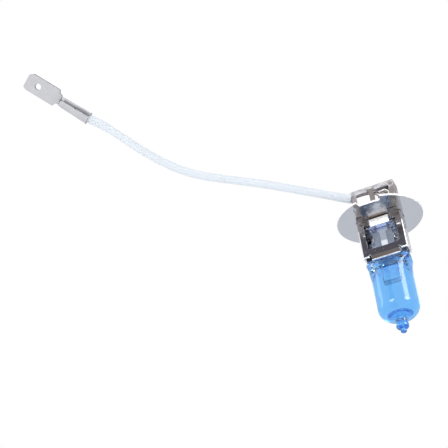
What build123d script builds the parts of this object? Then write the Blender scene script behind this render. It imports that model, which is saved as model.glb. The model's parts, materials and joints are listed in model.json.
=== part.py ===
from build123d import *
from build123d.topology import SkipClean
import math
import os

# Single-filament halogen headlight capsule on a 22 mm prefocus disc, with a
# sleeved flying lead that ends in a blade terminal.  All lengths in mm.
#
# Frame: origin on the lamp axis at the disc's reference (front) face.
#   -Y  forward along the lamp axis, towards the glass tip
#   +Y  towards the rear bracket
#   +Z  up, towards the keying notch in the disc
#   +X  to the right; the flying lead leaves on the left (-X) side
# Names ending in _AT are distances forward of the disc face, so y = -value.

os.makedirs("parts", exist_ok=True)

CLEARANCE = 0.01         # round parts sealed into the glass or held in the clip
TOLERANCE = 1e-3         # for picking edges by position

# prefocus disc
DISC_R = 11.0
DISC_T = 0.5
RIM_CHAMFER = 0.08
SEAT_R = 7.6             # inside radius of the plain seat ring
NOTCH_W_RIM = 6.2        # keying notch width near the rim
NOTCH_W_FLOOR = 5.3
NOTCH_FLOOR_Z = 8.85
NOTCH_RIM_Z = 10.6
SLOT_GAP = 0.05          # between the disc slot and the holder

# pinch holder: two folded sheet shells, the "front" one on the +Z side
HOLD_W = 11.7            # outside width along X
HOLD_D = 4.0             # outside depth along Z
HOLD_T = 0.4
HOLD_L = 10.7            # walls forward of the disc
HALF_W = HOLD_W / 2
HALF_D = HOLD_D / 2
HOLD_FOLD_R = 0.35
SEAM = 0.1               # gap between the two shells on the side walls
WIN_HALF_FRONT = 4.15    # half width of the window in the front shell
WIN_HALF_BACK = 1.9
WIN_REAR_AT = 1.2
WIN_FRONT_AT = 8.66
WIN_CORNER = 0.7
EAR_SLIT_X = (3.75, 4.15)       # slits beside the retaining tongue
EAR_SLIT_AT = 10.1
SIDE_CUT_W = 0.9         # side walls are trimmed this far in from the outside
SIDE_CUT_AT = 10.35
TONGUE_HALF_W = 3.65
SPRING_AT = 2.1          # free end of the spring tongue
SPRING_BEND_AT = 0.25
SPRING_HALF_W = 2.5
SPRING_GAP = 0.12        # slit beside the spring tongue
HOLD_FOOT_X = (3.0, 5.4)
HOLD_FOOT_T = 0.3
HOLD_FOOT_REACH = 2.0    # beyond the holder's outside
HOLD_FOOT_CORNER = 0.6
FOOT_OVERLAP = 0.2       # weld feet start this far inside the outside face

# glass
BULB_R = 5.15
BULB_WALL = 0.95
BORE_R = BULB_R - BULB_WALL
PINCH_W = 10.6
PINCH_T = 2.8
PINCH_CORNER = 0.6
PINCH_REAR_AT = 1.75
PINCH_FRONT_AT = 11.6    # where the pinch starts to swell into the tube
SIDE_NOTCH_R = 3.0
SIDE_NOTCH_X = 5.6
SIDE_NOTCH_AT = 4.6
TUBE_AT = 18.4           # where the shoulder has become a round tube
DOME_AT = 24.0           # where the tube turns into the dome
DOME_NECK_R = 1.5        # dome radius where it meets the exhaust tip
TIP_AT = 32.6
CAVITY_REAR_AT = 14.2
CAVITY_TUBE_AT = 17.0    # where the cavity reaches its full radius
CAVITY_NECK_R = 0.5
CAVITY_FRONT_AT = 30.6

# shoulder sections: distance forward, width, depth, corner radius
SHOULDER_SECTIONS = [
    (PINCH_FRONT_AT, PINCH_W, PINCH_T, 1.35),
    (12.6, 11.6, 5.6, 2.7),
    (13.6, 11.6, 8.4, 4.1),
    (15.2, 11.0, 10.1, 5.0),
    (TUBE_AT, 2 * BULB_R, 2 * BULB_R, BULB_R - 0.01),
]
# exhaust tip outline: radius, distance forward
TIP_OUTLINE = [
    (1.45, 30.1), (1.62, 30.7), (1.30, 31.4), (0.72, 31.75),
    (0.78, 32.15), (0.62, 32.43), (0.28, TIP_AT),
]

# light source
COIL_AT = 18.2           # light centre length, disc face to filament axis
COIL_L = 4.5
COIL_R = 0.56            # to the middle of the wire
COIL_WIRE_R = 0.085
COIL_PITCH = 0.34
COIL_KNEE_BACK = 0.65    # the tails bend this far behind the coil axis
COIL_TAIL_BACK = 1.6
COIL_TAIL_Z = 0.05
FOIL_X = 1.65            # middle of each foil
FOIL_W = 1.70
FOIL_T = 0.08
FOIL_REAR_AT, FOIL_FRONT_AT = 3.6, 9.6
LEG_X = 2.33
LEG_R = 0.175
LEG_Z = -FOIL_T / 2 - LEG_R     # legs lie on the -Z face of the foils
LEG_REAR_AT = 8.2
LEG_OVERRUN = 0.15       # legs pass the coil axis by this much
LEG_BORE_FRONT_AT = 16.0
PIN_R = 0.30             # outer lead-in pins, also on the -Z face of the foils
PIN_Z = -FOIL_T / 2 - PIN_R
PIN_FRONT_AT = 5.0
GROUND_PIN_PATH = [
    (-FOIL_X, -PIN_FRONT_AT, PIN_Z), (-FOIL_X, 2.2, PIN_Z),
    (-0.55, 4.4, 1.27), (-0.55, 6.8, 1.27),
]
LIVE_PIN_PATH = [
    (FOIL_X, -PIN_FRONT_AT, PIN_Z), (FOIL_X, 2.6, PIN_Z),
    (2.35, 4.4, 0.45), (2.35, 6.9, 0.45),
]

# rear bracket
BRACKET_LEFT, BRACKET_RIGHT = -5.9, 5.6     # outside of the side walls
BRACKET_REAR = 9.4
BRACKET_T = 0.4
BRACKET_FOLD_R = 0.3
LIP_Z = 1.05             # lower edge of the stiffening lip
CLOSED_X = 0.0           # the rear wall is full height to the right of this
BOTTOM_REAR = 5.6        # rear edge of the bottom wall's left part
BOTTOM_LONG_X = 0.4      # the bottom wall is full length to the right of this
BRACKET_WINDOWS = [(-4.5, -1.0, 1.4, 8.05), (0.25, 4.3, 1.4, 8.1)]   # x0, x1, y0, y1
BRACKET_WIN_CORNER = 0.3
LEAD_NOTCH_Y, LEAD_NOTCH_Z = 8.42, 0.96
LEAD_NOTCH_R = 0.48
LEAD_NOTCH_HALF = 0.42   # half width of the channel open to the rear
BRACKET_FOOT_X = [(-5.6, -3.6), (3.3, 5.3)]
BRACKET_FOOT_T = 0.4
BRACKET_FOOT_REACH = 1.9
BRACKET_FOOT_CORNER = 0.5

# splice clip: centre line of the folded strip in XY
CLIP_LINE = [(1.35, 7.35), (3.05, 7.50), (3.90, 6.75), (3.75, 5.2), (2.2, 4.75)]
CLIP_HALF_T = 0.15
CLIP_H = 1.45

# flying lead
CONDUCTOR_R = 0.55
CONDUCTOR_ROOT_R = 0.40
SLEEVE_BORE_R = 0.58
SLEEVE_R = 1.10
SLEEVE_END_R = 1.20      # slightly swollen sleeve ends
FLEX_GAP = 0.55          # gap on each side of a flex point
FLEX_POINTS = (1.8, 21.5, 43.0, 66.4)       # distances along the lead
RUN_STEP = 5.0           # approximate spacing of points along a run
WALL_START = (-5.93, 8.24, 0.88)            # sleeve start at the bracket wall
WALL_START_DIR = (-0.87, 0.27, 0.41)
# conductor from the splice through the wall notch
SPLICE_PATH = [
    (2.7, 6.25, 1.17), (1.3, 6.60, 1.15), (0.2, 7.60, 0.95),
    (-1.5, 8.30, 0.75), (-4.2, 8.40, 0.80), (-5.93, 8.42, 0.98),
]
# centre line of the lead from the bracket wall to the terminal: x, y, z
LEAD_POINTS = [
    (-6.55, 8.43, 1.07), (-11.74, 10.16, 3.42), (-16.91, 12.05, 5.67),
    (-22.09, 13.98, 7.87), (-27.33, 15.86, 9.98), (-32.65, 17.61, 11.98),
    (-37.97, 19.38, 13.98), (-43.08, 21.51, 16.16), (-47.72, 24.27, 18.66),
    (-51.85, 27.54, 21.42), (-55.66, 31.07, 24.33), (-59.33, 34.66, 27.34),
    (-62.60, 37.62, 29.92),
]

# blade terminal, in its own axes: x along the blade from the crimp mouth,
# y across it, z along its normal
CRIMP_MOUTH = Vector(-63.818, 38.102, 30.617)
BLADE_DIR = Vector(-0.63290, 0.56089, 0.53370).normalized()
ACROSS_DIR = Vector(0.77336, 0.49058, 0.40155).normalized()
TAB_HALF_W = 4.8 / 2
TAB_T = 0.8
TAB_START, TAB_END = 10.6, 19.75
TAB_NOSE_L, TAB_NOSE_W = 1.25, 0.95         # corners cut off the nose
TAB_CHAMFER = 0.22
TAB_HOLE_X, TAB_HOLE_R = 16.2, 0.85
TERMINAL_FLOOR = -1.32   # underside of the terminal
FLOOR_STRIP_T = 0.32
SLEEVE_CRIMP = (0.3, 3.3, 1.34)             # start, end, outside radius
SLEEVE_CRIMP_BORE_R = 0.96
WIRE_CRIMP = (4.6, 8.0, 1.18)
WIRE_CRIMP_BORE_R = CONDUCTOR_R + 0.02
SEAM_HALF_W = 0.06
NECK_INSET = 0.35        # neck shoulders stand in from the tab's edges
NECK_STEP = 0.03         # the neck is this much thinner than the tab
LEAD_ENTRY = 0.15        # where the straight crimped lead starts
CRIMPED_SLEEVE_R = 0.93
CRIMPED_SLEEVE_L = 4.3
CRIMPED_CONDUCTOR_L = 8.2


# --- shared helpers ---------------------------------------------------------

def save(shape, name):
    shape.label = name
    export_step(shape, f"parts/{name}.step")


def near(value, target):
    return abs(value - target) < TOLERANCE


def block(x0, x1, y0, y1, z0, z1):
    centre = Pos((x0 + x1) / 2, (y0 + y1) / 2, (z0 + z1) / 2)
    return centre * Box(abs(x1 - x0), abs(y1 - y0), abs(z1 - z0))


def rod_x(x0, x1, radius):
    return Pos((x0 + x1) / 2, 0, 0) * Rot(0, 90, 0) * Cylinder(radius, x1 - x0)


def rod_y(x, z, y0, y1, radius):
    return Pos(x, (y0 + y1) / 2, z) * Rot(90, 0, 0) * Cylinder(radius, abs(y1 - y0))


def polygon(points):
    return make_face(Polyline(*points, close=True))


def side_profile(points, half_width):
    """Closed (y, z) outline extruded to both sides along X."""
    return extrude(Plane.YZ * polygon(points), half_width, both=True)


def rod_line(points, radius):
    """Round rod along straight runs, with a ball at each corner."""
    body = None
    for start, end in zip(points[:-1], points[1:]):
        run = Vector(*end) - Vector(*start)
        plane = Plane(origin=start, z_dir=run.normalized())
        segment = extrude(plane * Circle(radius), run.length)
        body = segment if body is None else body + segment
        if end != points[-1]:
            body = body + Pos(*end) * Sphere(radius)
    return body


def rod_spline(points, radius, tangents):
    """Round rod swept along a smooth line with given end tangents."""
    path = Spline(*[tuple(p) for p in points], tangents=[tuple(t) for t in tangents])
    start = Plane(origin=path @ 0, z_dir=path % 0)
    return sweep(start * Circle(radius), path=path)


def window_cutter(x0, x1, y0, y1, corner):
    """Round-cornered cutter through a wall at the holder's +Z outside."""
    cutter = block(x0, x1, y0, y1, HALF_D - 1, HALF_D + 1)
    return fillet(cutter.edges().filter_by(Axis.Z), corner)


def weld_foot(x0, x1, y0, y1, z_side, reach, corner):
    """Flat foot standing out of the sheet at z = +/-HALF_D, outer corners rounded."""
    foot = block(x0, x1, y0, y1,
                 z_side * (HALF_D - FOOT_OVERLAP), z_side * (HALF_D + reach))
    tips = [e for e in foot.edges().filter_by(Axis.Y) if abs(e.center().Z) > HALF_D + 1]
    return fillet(tips, corner)


# --- disc and holder --------------------------------------------------------

def focus_disc():
    """Flat flange with the keying notch on top and a slot for the holder."""
    # Plane.XZ faces -Y, so the extrusion is moved back to put its front on y = 0
    disc = Pos(0, DISC_T, 0) * extrude(Plane.XZ * Circle(DISC_R), DISC_T)
    floor_x, rim_x = NOTCH_W_FLOOR / 2, NOTCH_W_RIM / 2
    right = [(floor_x, NOTCH_FLOOR_Z), (rim_x, NOTCH_RIM_Z), (rim_x + 0.2, DISC_R + 1)]
    left = [(-x, z) for x, z in right]
    outline = [left[0], *right, left[2], left[1]]
    notch = extrude(Plane.XZ * polygon(outline), 2, both=True)
    slot_x, slot_z = HALF_W + SLOT_GAP, HALF_D + SLOT_GAP
    disc = disc - notch - block(-slot_x, slot_x, -1, 2, -slot_z, slot_z)
    rim = [e for e in disc.edges().filter_by(GeomType.CIRCLE) if e.radius > DISC_R - 0.01]
    disc = chamfer(rim, RIM_CHAMFER)
    # without cleaning, the seat ring and the hub keep separate flat faces
    hub_zone = rod_y(0, 0, -1.5 * DISC_T, 2.5 * DISC_T, SEAT_R)
    with SkipClean():
        return ((disc - hub_zone) + (disc & hub_zone)).solids()[0]


def holder_shell(window_half):
    """Folded shell on the +Z side of the pinch."""
    z_out, z_in = HALF_D, HALF_D - HOLD_T
    wall = block(-HALF_W, HALF_W, -HOLD_L, DISC_T, z_in, z_out)
    left = block(-HALF_W, -HALF_W + HOLD_T, -HOLD_L, DISC_T, SEAM / 2, z_out)
    right = block(HALF_W - HOLD_T, HALF_W, -HOLD_L, DISC_T, SEAM / 2, z_out)
    shell = wall + left + right
    folds = [e for e in shell.edges().filter_by(Axis.Y)
             if near(abs(e.center().X), HALF_W) and near(e.center().Z, z_out)]
    shell = fillet(folds, HOLD_FOLD_R)
    shell = shell - window_cutter(-window_half, window_half,
                                  -WIN_FRONT_AT, -WIN_REAR_AT, WIN_CORNER)
    # slits separate the corner ears from the tongue; side walls are cut back
    for side in (-1, 1):
        shell = shell - block(side * EAR_SLIT_X[0], side * EAR_SLIT_X[1],
                              -HOLD_L - 1, -EAR_SLIT_AT, z_in - 1, z_out + 1)
        shell = shell - block(side * (HALF_W - SIDE_CUT_W), side * (HALF_W + 1),
                              -HOLD_L - 1, -SIDE_CUT_AT, -5, z_in - 0.5)
    # retaining tongue over the shoulder of the glass
    shell = shell + side_profile([
        (-HOLD_L + 0.3, z_in), (-HOLD_L + 0.3, z_out),
        (-11.9, z_out + 0.22), (-11.95, z_out - 0.17),
    ], TONGUE_HALF_W)
    # spring tongue from the wall at the disc towards the pinch
    slit_x = SPRING_HALF_W + SPRING_GAP
    shell = shell - block(-slit_x, slit_x, -SPRING_AT - 0.2, 0.0, z_in - 1, z_out + 1)
    shell = shell + side_profile([
        (DISC_T, z_out), (-SPRING_BEND_AT, z_out), (-SPRING_AT, PINCH_T / 2 + 0.31),
        (-SPRING_AT, PINCH_T / 2 + 0.02), (-SPRING_BEND_AT, z_in), (DISC_T, z_in),
    ], SPRING_HALF_W)
    # weld feet against the disc's front face
    for side in (-1, 1):
        shell = shell + weld_foot(side * HOLD_FOOT_X[0], side * HOLD_FOOT_X[1],
                                  -HOLD_FOOT_T, 0.0, 1,
                                  HOLD_FOOT_REACH, HOLD_FOOT_CORNER)
    return shell


# --- light source -----------------------------------------------------------

def filament_coil():
    """Coil across the lamp axis, with a tail at each end beside its leg."""
    helix = Helix(pitch=COIL_PITCH, height=COIL_L, radius=COIL_R,
                  center=(-COIL_L / 2, -COIL_AT, 0), direction=(1, 0, 0))
    start, end = helix @ 0, helix @ 1
    coil = sweep(Plane(origin=start, z_dir=helix % 0) * Circle(COIL_WIRE_R), path=helix)
    for coil_end, side in ((start, -1), (end, 1)):
        knee = (side * LEG_X, -COIL_AT + COIL_KNEE_BACK, COIL_TAIL_Z)
        tail_end = (side * LEG_X, -COIL_AT + COIL_TAIL_BACK, COIL_TAIL_Z)
        # the ball is slightly oversize so that coil and tail join cleanly
        coil = coil + Pos(*coil_end) * Sphere(COIL_WIRE_R * 1.02)
        coil = coil + rod_line([tuple(coil_end), knee, tail_end], COIL_WIRE_R)
    return coil


def filament_leg(side):
    return rod_y(side * LEG_X, LEG_Z, -COIL_AT - LEG_OVERRUN, -LEG_REAR_AT, LEG_R)


def moly_foil(side, gap=0.0):
    """Flat foil, grown by gap on every face."""
    middle, half_w, half_t = side * FOIL_X, FOIL_W / 2 + gap, FOIL_T / 2 + gap
    return block(middle - half_w, middle + half_w,
                 -FOIL_FRONT_AT - gap, -FOIL_REAR_AT + gap, -half_t, half_t)


# --- glass ------------------------------------------------------------------

def sealed_hollow():
    """Space that the legs, foils and outer pins take up in the glass."""
    hollows = []
    for side in (-1, 1):
        hollows.append(rod_y(side * LEG_X, LEG_Z, -LEG_BORE_FRONT_AT,
                             -LEG_REAR_AT + CLEARANCE, LEG_R + CLEARANCE))
        hollows.append(moly_foil(side, CLEARANCE))
    for side in (-1, 1):
        hollows.append(rod_y(side * FOIL_X, PIN_Z, -PIN_FRONT_AT - CLEARANCE, 0.0,
                             PIN_R + CLEARANCE))
    hollow = hollows[0]
    for item in hollows[1:]:
        hollow = hollow + item
    return hollow


def shoulder_section(forward, width, depth, corner):
    plane = Plane(origin=(0, -forward, 0), x_dir=(1, 0, 0), z_dir=(0, -1, 0))
    return plane * RectangleRounded(width, depth, corner)


def lines_through(points):
    """Straight edges through (radius, distance forward) points."""
    return [Line((r0, -f0, 0), (r1, -f1, 0))
            for (r0, f0), (r1, f1) in zip(points, points[1:])]


def arc_through(*points):
    """Arc through three (radius, distance forward) points."""
    return ThreePointArc(*[(radius, -forward, 0) for radius, forward in points])


def dome_point(radius, degrees):
    angle = math.radians(degrees)
    return (radius * math.cos(angle), DOME_AT + radius * math.sin(angle))


def tube_outside():
    """Tube, dome and exhaust tip as one solid of revolution."""
    tube_end = (BULB_R, DOME_AT)
    dome_end = (DOME_NECK_R, DOME_AT + math.sqrt(BULB_R ** 2 - DOME_NECK_R ** 2))
    edges = lines_through([(0, TUBE_AT), (BULB_R, TUBE_AT), tube_end])
    edges += [arc_through(tube_end, dome_point(BULB_R, 42), dome_end)]
    edges += lines_through([dome_end, *TIP_OUTLINE, (0, TIP_AT), (0, TUBE_AT)])
    return revolve(make_face(edges), axis=Axis.Y)


def tube_cavity():
    rear, rear_rim = (0, CAVITY_REAR_AT), (2.4, CAVITY_REAR_AT)
    bore_start, bore_end = (BORE_R, CAVITY_TUBE_AT), (BORE_R, DOME_AT)
    dome_end = (CAVITY_NECK_R, DOME_AT + math.sqrt(BORE_R ** 2 - CAVITY_NECK_R ** 2))
    edges = lines_through([rear, rear_rim])
    edges += [arc_through(rear_rim, (3.75, 15.0), bore_start)]
    edges += lines_through([bore_start, bore_end])
    edges += [arc_through(bore_end, dome_point(BORE_R, 45), dome_end)]
    edges += lines_through([dome_end, (0.35, CAVITY_FRONT_AT), (0, CAVITY_FRONT_AT), rear])
    return revolve(make_face(edges), axis=Axis.Y)


def glass_envelope():
    """Flat pinch with side notches, shoulder, tube, dome and tip."""
    pinch = block(-PINCH_W / 2, PINCH_W / 2, -PINCH_FRONT_AT, -PINCH_REAR_AT,
                  -PINCH_T / 2, PINCH_T / 2)
    pinch = fillet(pinch.edges().filter_by(Axis.Y), PINCH_CORNER)
    for side in (-1, 1):
        pinch = pinch - (Pos(side * SIDE_NOTCH_X, -SIDE_NOTCH_AT, 0)
                         * Cylinder(SIDE_NOTCH_R, 6))
    shoulder = loft([shoulder_section(*row) for row in SHOULDER_SECTIONS])
    envelope = pinch + shoulder + tube_outside() - tube_cavity()
    return (envelope - sealed_hollow()).solids()[0]


# --- rear bracket and splice ------------------------------------------------

def rear_bracket():
    """Folded frame on the back of the disc."""
    left, right, rear, sheet = BRACKET_LEFT, BRACKET_RIGHT, BRACKET_REAR, BRACKET_T
    bracket = block(left, right, DISC_T, rear, HALF_D - sheet, HALF_D)     # top wall
    for x0, x1, y0, y1, z0, z1 in [
        (left, left + sheet, DISC_T, rear, -HALF_D, HALF_D),               # left wall
        (right - sheet, right, DISC_T, rear, -HALF_D, HALF_D),             # right wall
        (CLOSED_X, right, rear - sheet, rear, -HALF_D, HALF_D),            # rear wall
        (left, right, rear - sheet, rear, LIP_Z, HALF_D),                  # rear lip
        (left, right, DISC_T, BOTTOM_REAR, -HALF_D, -HALF_D + sheet),      # bottom wall
        (BOTTOM_LONG_X, right, DISC_T, rear, -HALF_D, -HALF_D + sheet),
    ]:
        bracket = bracket + block(x0, x1, y0, y1, z0, z1)
    for x0, x1, y0, y1 in BRACKET_WINDOWS:
        bracket = bracket - window_cutter(x0, x1, y0, y1, BRACKET_WIN_CORNER)
    # notch for the lead in the left wall, open to the rear
    bracket = bracket - (Pos(left + sheet / 2, LEAD_NOTCH_Y, LEAD_NOTCH_Z)
                         * Rot(0, 90, 0) * Cylinder(LEAD_NOTCH_R, 1.2))
    bracket = bracket - block(left - 0.2, left + sheet + 0.05, LEAD_NOTCH_Y, rear + 0.5,
                              LEAD_NOTCH_Z - LEAD_NOTCH_HALF,
                              LEAD_NOTCH_Z + LEAD_NOTCH_HALF)
    folds = [e for e in bracket.edges().filter_by(Axis.Y)
             if (near(e.center().X, left) or near(e.center().X, right))
             and near(e.center().Z, HALF_D)]
    bracket = fillet(folds, BRACKET_FOLD_R)
    for x0, x1 in BRACKET_FOOT_X:
        for z_side in (-1, 1):
            bracket = bracket + weld_foot(x0, x1, DISC_T, DISC_T + BRACKET_FOOT_T, z_side,
                                          BRACKET_FOOT_REACH, BRACKET_FOOT_CORNER)
    return bracket


def splice_clip():
    """Strip folded into a hook round the live pin and the conductor."""
    clip = None
    for (ax, ay), (bx, by) in zip(CLIP_LINE[:-1], CLIP_LINE[1:]):
        angle = math.atan2(by - ay, bx - ax)
        dx, dy = -math.sin(angle) * CLIP_HALF_T, math.cos(angle) * CLIP_HALF_T
        piece = extrude(polygon([(ax + dx, ay + dy), (bx + dx, by + dy),
                                 (bx - dx, by - dy), (ax - dx, ay - dy)]), CLIP_H)
        clip = piece if clip is None else clip + piece
        if (bx, by) != CLIP_LINE[-1]:
            clip = clip + Pos(bx, by, CLIP_H / 2) * Cylinder(CLIP_HALF_T, CLIP_H)
    return clip - rod_line(LIVE_PIN_PATH[1:], PIN_R + CLEARANCE)


# --- flying lead: conductor in a sleeve, both cut at the flex points --------

lead = Spline(*LEAD_POINTS)
lead_length = lead.length


def station(distance):
    return lead @ (distance / lead_length)


def heading(distance):
    return lead % (distance / lead_length)


def lead_run(start, end, radius):
    """Rod along the lead between two distances."""
    count = max(3, int((end - start) / RUN_STEP) + 2)
    points = [station(start + (end - start) * i / (count - 1)) for i in range(count)]
    return rod_spline(points, radius, [heading(start), heading(end)])


ROOT_END = FLEX_POINTS[0] - FLEX_GAP


def lead_sleeve_root():
    """Short sleeve stub outside the bracket's left wall."""
    points = [WALL_START, station(0.35), station(ROOT_END)]
    tangents = [Vector(*WALL_START_DIR).normalized(), heading(ROOT_END)]
    sleeve = (rod_spline(points, SLEEVE_END_R, tangents)
              - rod_spline(points, SLEEVE_BORE_R, tangents))
    return sleeve - block(BRACKET_LEFT - 0.02, 5, 0, 12, -5, 6)


def lead_conductor_root():
    """Conductor from the splice through the wall notch to the first flex point."""
    points = SPLICE_PATH + [station(0.7), station(ROOT_END)]
    return rod_spline(points, CONDUCTOR_ROOT_R, [(-1.0, 0.0, 0.0), heading(ROOT_END)])


def tail_rod(radius):
    """Curved rod from the last flex point to the terminal."""
    start = FLEX_POINTS[-1] + FLEX_GAP
    points = [station(start), station(start + 1.6), CRIMP_MOUTH + BLADE_DIR * LEAD_ENTRY]
    return rod_spline(points, radius, [heading(start), BLADE_DIR])


def crimp_rod(radius, length):
    """Straight rod along the terminal's crimps."""
    plane = Plane(origin=CRIMP_MOUTH + BLADE_DIR * LEAD_ENTRY, z_dir=BLADE_DIR)
    return extrude(plane * Circle(radius), length)


def lead_sleeve_tail():
    return (tail_rod(SLEEVE_END_R) + crimp_rod(CRIMPED_SLEEVE_R, CRIMPED_SLEEVE_L)
            - tail_rod(SLEEVE_BORE_R) - crimp_rod(SLEEVE_BORE_R, CRIMPED_SLEEVE_L))


def lead_conductor_tail():
    return tail_rod(CONDUCTOR_R) + crimp_rod(CONDUCTOR_R, CRIMPED_CONDUCTOR_L)


# --- blade terminal ---------------------------------------------------------

def crimp_barrel(x0, x1, outer_r, bore_r):
    """Closed crimp barrel with a seam groove on top."""
    barrel = rod_x(x0, x1, outer_r) - rod_x(x0 - 0.5, x1 + 0.5, bore_r)
    return barrel - block(x0 - 1, x1 + 1, -SEAM_HALF_W, SEAM_HALF_W, 0, outer_r + 1)


def terminal_tab():
    """Flat tab with cut nose corners and a locking hole."""
    nose_x, nose_y = TAB_END - TAB_NOSE_L, TAB_HALF_W - TAB_NOSE_W
    tab = extrude(polygon([
        (TAB_START, -TAB_HALF_W), (nose_x, -TAB_HALF_W), (TAB_END, -nose_y),
        (TAB_END, nose_y), (nose_x, TAB_HALF_W), (TAB_START, TAB_HALF_W),
    ]), TAB_T)
    tab = Pos(0, 0, TERMINAL_FLOOR) * tab
    tab = chamfer([e for e in tab.edges() if near(e.center().X, TAB_END)], TAB_CHAMFER)
    return tab - Pos(TAB_HOLE_X, 0, TERMINAL_FLOOR) * Cylinder(TAB_HOLE_R, 4)


def terminal_neck():
    """Neck, a trace thinner than the tab so that the tab keeps its own flat face."""
    shoulder_y = TAB_HALF_W - NECK_INSET
    upper = [(TAB_START + 0.2, shoulder_y), (TAB_START - 0.1, shoulder_y),
             (9.6, 1.25), (8.4, 1.15), (7.9, 1.15)]
    lower = [(x, -y) for x, y in reversed(upper)]
    neck = extrude(polygon(upper + lower), TAB_T - NECK_STEP)
    return Pos(0, 0, TERMINAL_FLOOR) * neck


def blade_terminal():
    floor_strip = block(0.3, 9.0, -1.0, 1.0, TERMINAL_FLOOR, TERMINAL_FLOOR + FLOOR_STRIP_T)
    sleeve_core = rod_x(-1.6, 10.4, SLEEVE_CRIMP_BORE_R)
    wire_core = rod_x(-3.6, 12.4, WIRE_CRIMP_BORE_R)
    terminal = (crimp_barrel(*SLEEVE_CRIMP, SLEEVE_CRIMP_BORE_R)
                + crimp_barrel(*WIRE_CRIMP, WIRE_CRIMP_BORE_R))
    link = block(3.2, 4.7, -1.05, 1.05, TERMINAL_FLOOR, -0.2) - sleeve_core
    terminal = terminal + link + (floor_strip - wire_core) + terminal_neck() + terminal_tab()
    terminal = terminal - wire_core
    plane = Plane(origin=CRIMP_MOUTH, x_dir=BLADE_DIR, z_dir=ACROSS_DIR.cross(BLADE_DIR))
    return (plane * terminal).solids()[0]


# --- write the pieces -------------------------------------------------------

save(focus_disc(), "focus_disc")
save(holder_shell(WIN_HALF_FRONT), "holder_front_shell")
save(mirror(holder_shell(WIN_HALF_BACK), about=Plane.XY), "holder_back_shell")
save(filament_coil(), "filament_coil")
for side_name, side in (("left", -1), ("right", 1)):
    save(filament_leg(side), f"filament_leg_{side_name}")
    save(moly_foil(side), f"moly_foil_{side_name}")
save(rod_line(GROUND_PIN_PATH, PIN_R), "outer_pin_ground")
save(rod_line(LIVE_PIN_PATH, PIN_R), "outer_pin_live")
save(glass_envelope(), "glass_envelope")
save(rear_bracket(), "rear_bracket")
save(splice_clip(), "splice_clip")
save(lead_sleeve_root(), "lead_sleeve_root")
save(lead_conductor_root(), "lead_conductor_root")
for i, (flex_start, flex_end) in enumerate(zip(FLEX_POINTS, FLEX_POINTS[1:]), start=1):
    run = (flex_start + FLEX_GAP, flex_end - FLEX_GAP)
    save(lead_run(*run, SLEEVE_R) - lead_run(*run, SLEEVE_BORE_R), f"lead_sleeve_{i}")
    save(lead_run(*run, CONDUCTOR_R), f"lead_conductor_{i}")
save(lead_sleeve_tail(), "lead_sleeve_4")
save(lead_conductor_tail(), "lead_conductor_4")
save(blade_terminal(), "blade_terminal")
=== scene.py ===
"""Quartz lamp in a nickel sheet holder, with a braided lead ending in a blade terminal.

Lengths are millimetres in the CAD frame, scaled by MM on the way into Blender. The bulb lies
along Y: the disc is near y = 0 and the exhaust tip points to -Y. The pinch is wide along X and
thin along Z. The lead runs from the rear of the holder towards -X, +Y and +Z.
"""
import json
import math

import bmesh
import bpy
import numpy as np
from mathutils import Matrix, Vector


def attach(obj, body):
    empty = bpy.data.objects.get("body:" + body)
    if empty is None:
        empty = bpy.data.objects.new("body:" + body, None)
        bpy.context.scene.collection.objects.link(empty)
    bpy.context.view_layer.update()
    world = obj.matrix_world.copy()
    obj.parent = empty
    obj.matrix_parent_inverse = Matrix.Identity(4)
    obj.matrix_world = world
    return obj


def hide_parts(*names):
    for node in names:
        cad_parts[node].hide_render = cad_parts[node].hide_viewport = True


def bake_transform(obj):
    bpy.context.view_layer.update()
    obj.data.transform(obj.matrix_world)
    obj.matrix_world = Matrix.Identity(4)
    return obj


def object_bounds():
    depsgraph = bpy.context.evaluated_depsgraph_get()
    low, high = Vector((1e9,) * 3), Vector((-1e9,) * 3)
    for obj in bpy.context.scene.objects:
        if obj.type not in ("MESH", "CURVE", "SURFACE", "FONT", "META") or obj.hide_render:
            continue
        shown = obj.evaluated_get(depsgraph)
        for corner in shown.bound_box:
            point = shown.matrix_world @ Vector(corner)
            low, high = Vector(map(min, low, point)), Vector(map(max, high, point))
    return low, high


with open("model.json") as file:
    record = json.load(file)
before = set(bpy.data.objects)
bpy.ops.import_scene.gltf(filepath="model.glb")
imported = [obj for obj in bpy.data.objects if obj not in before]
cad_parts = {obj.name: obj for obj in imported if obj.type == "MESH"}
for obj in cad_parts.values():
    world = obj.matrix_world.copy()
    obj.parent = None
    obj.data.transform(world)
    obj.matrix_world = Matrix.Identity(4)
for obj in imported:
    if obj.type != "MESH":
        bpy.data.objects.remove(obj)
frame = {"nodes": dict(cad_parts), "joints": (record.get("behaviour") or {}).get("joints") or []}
cad_lo, cad_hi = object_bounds()
nodes = frame["nodes"]
joints = {joint["name"]: joint for joint in frame["joints"]}

MM = 0.001
SHELL_EAR_Y = 10.7      # distance from the disc to the shells' outer ears
COIL_Y = -18.2          # filament axis, across the bulb


# ---------------------------------------------------------------------------
# geometry helpers
# ---------------------------------------------------------------------------
def vec(*parts):
    return np.array(parts, float)


def unit(vector):
    vector = np.asarray(vector, float)
    return vector / np.linalg.norm(vector)


def smoothstep(value):
    value = np.clip(value, 0, 1)
    return value * value * (3 - 2 * value)


def circle(count):
    """Cosines and sines of evenly spaced angles."""
    angles = np.linspace(0, 2 * math.pi, count, endpoint=False)
    return np.cos(angles), np.sin(angles)


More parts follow.
